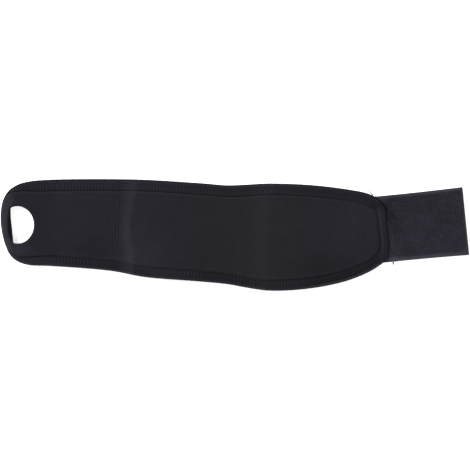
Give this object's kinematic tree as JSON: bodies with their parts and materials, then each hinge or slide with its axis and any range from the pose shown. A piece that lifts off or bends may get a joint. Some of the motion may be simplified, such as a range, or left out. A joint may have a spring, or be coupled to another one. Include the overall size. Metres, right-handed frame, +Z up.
{
  "type": "wrist support wrap",
  "caption": "Padded wrist support wrap lying open, with a thumb hole at one end, a stitched tape binding round its edge and a hook tape strap sewn under the other end.",
  "frame": {"origin": "on the resting surface, under the middle of the wrap's length and width", "axes": "+X along the wrap from the thumb loop to the free end of the strap, +Y across it, +Z up with the hook face upwards"},
  "size_m": [0.351, 0.0833, 0.0082],
  "materials": {
    "panel": "matte knit over foam rubber",
    "edge_binding": "matte woven tape",
    "hook_strap": "woven nylon hook tape"
  },
  "bodies": {
    "root": {"panel": "panel", "edge_binding": "edge_binding", "hook_strap": "hook_strap"}
  },
  "joints": []
}
